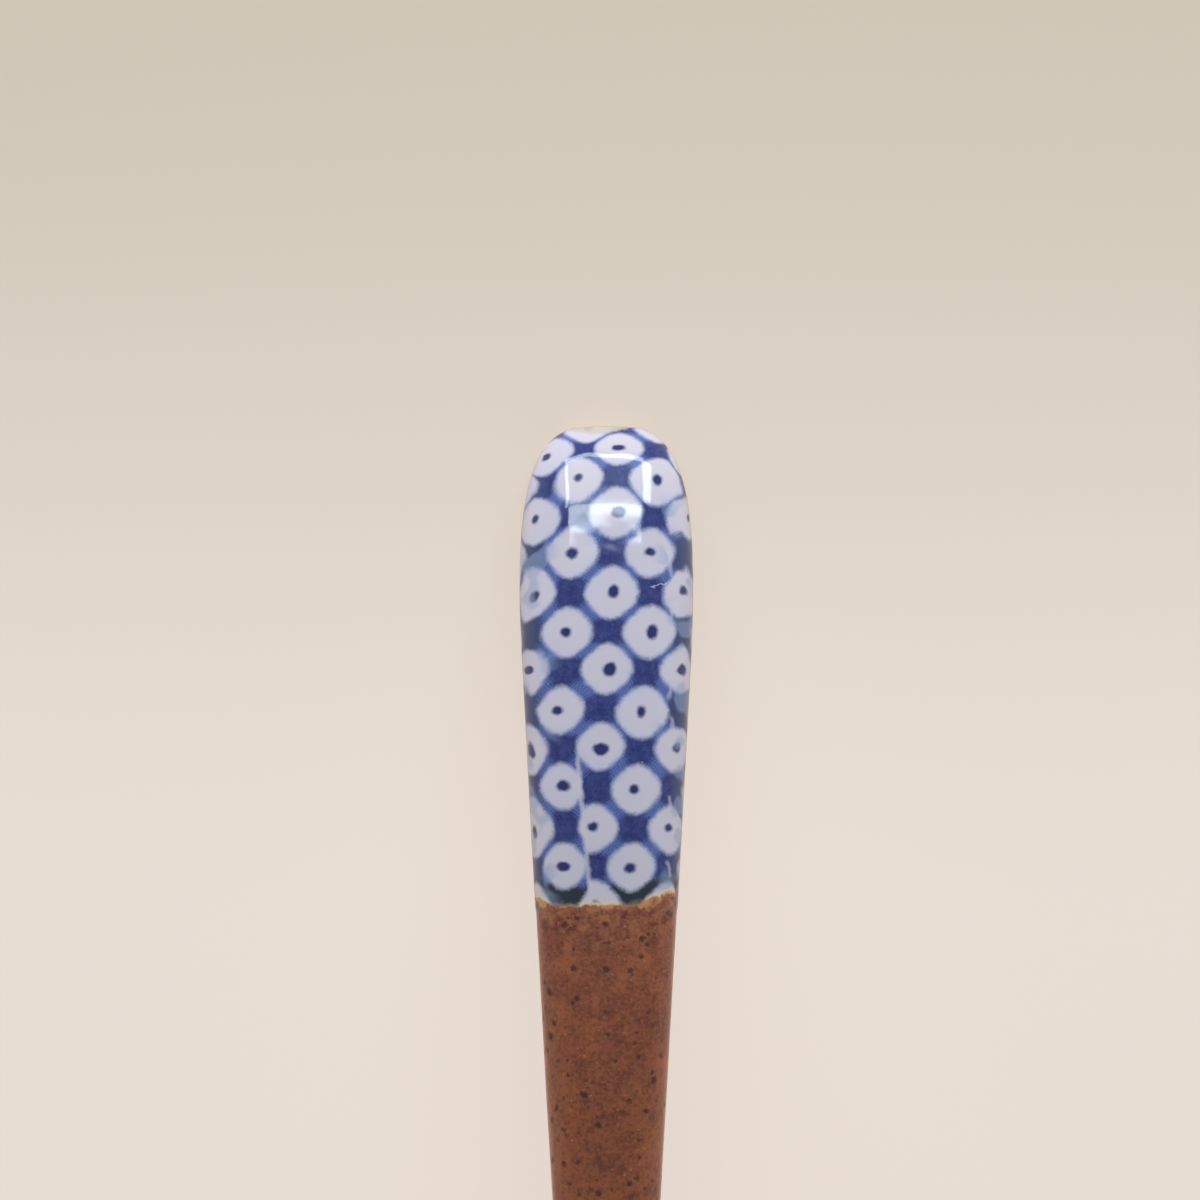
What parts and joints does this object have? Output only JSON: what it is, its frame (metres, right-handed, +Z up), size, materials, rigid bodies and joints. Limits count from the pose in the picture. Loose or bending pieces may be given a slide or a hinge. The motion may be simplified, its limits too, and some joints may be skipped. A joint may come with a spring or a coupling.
{
  "type": "ceramic spoon",
  "caption": "Ceramic spoon with a deep oval bowl and an arched, flared handle, its handle end and bowl inside printed in blue fawn-spot rings under clear glaze.",
  "frame": {"origin": "centre of the flat ground under the bowl", "axes": "+Y along the handle to its end, +Z up out of the bowl, X across"},
  "size_m": [0.042, 0.1695, 0.0204],
  "materials": {
    "clay": "fired iron-bearing clay, satin, speckled",
    "white_slip": "fired white slip, matte",
    "cobalt_print": "cobalt transfer print, matte under glaze",
    "clear_glaze": "clear glaze, glossy"
  },
  "bodies": {
    "root": {"clay_body": "clay", "handle_white_slip": "white_slip", "handle_transfer_print": "cobalt_print", "handle_clear_glaze": "clear_glaze", "bowl_white_slip": "white_slip", "bowl_transfer_print": "cobalt_print", "bowl_clear_glaze": "clear_glaze"}
  },
  "joints": []
}
